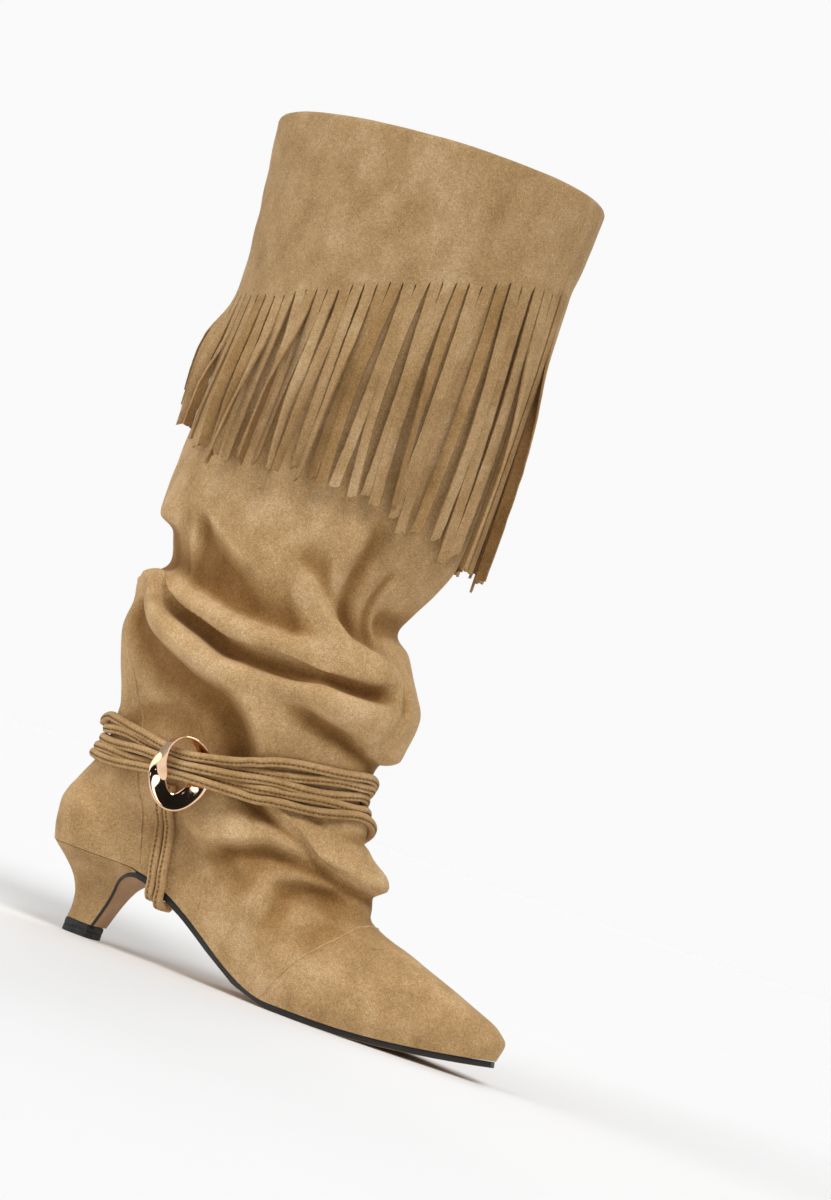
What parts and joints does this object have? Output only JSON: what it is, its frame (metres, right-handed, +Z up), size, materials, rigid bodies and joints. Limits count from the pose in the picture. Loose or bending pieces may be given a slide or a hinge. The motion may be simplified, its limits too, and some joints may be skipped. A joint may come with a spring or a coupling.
{
  "type": "knee-high boot",
  "caption": "Right-foot slouch boot in suede with a pointed toe, kitten heel, fringed turned-down cuff and corded ankle harness with a twisted metal ring.",
  "frame": {"origin": "middle of the heel top piece's flat bottom, on the floor", "axes": "+X towards the toe, +Y to the medial (inner) side of this right-foot boot, +Z up along the shaft"},
  "size_m": [0.2931, 0.1257, 0.465],
  "materials": {
    "suede": "napped suede, mottled tan",
    "lining": "smooth pale lining leather",
    "sole_leather": "smooth tan sole leather with a black edge",
    "black_rubber": "matt black rubber",
    "suede_cord": "stitched suede cord and strap",
    "rose_gold": "polished rose-gold plated metal"
  },
  "bodies": {
    "root": {"upper": "suede", "cuff_fringe": "suede", "insole": "lining", "outsole": "sole_leather", "heel": "suede", "top_piece": "black_rubber", "ankle_cord_1": "suede_cord", "ankle_cord_2": "suede_cord", "ankle_cord_3": "suede_cord", "ankle_cord_4": "suede_cord", "ankle_cord_5": "suede_cord", "ring": "rose_gold", "stirrup_cord_1": "suede_cord", "stirrup_cord_2": "suede_cord", "stirrup_strap": "suede_cord"}
  },
  "joints": []
}
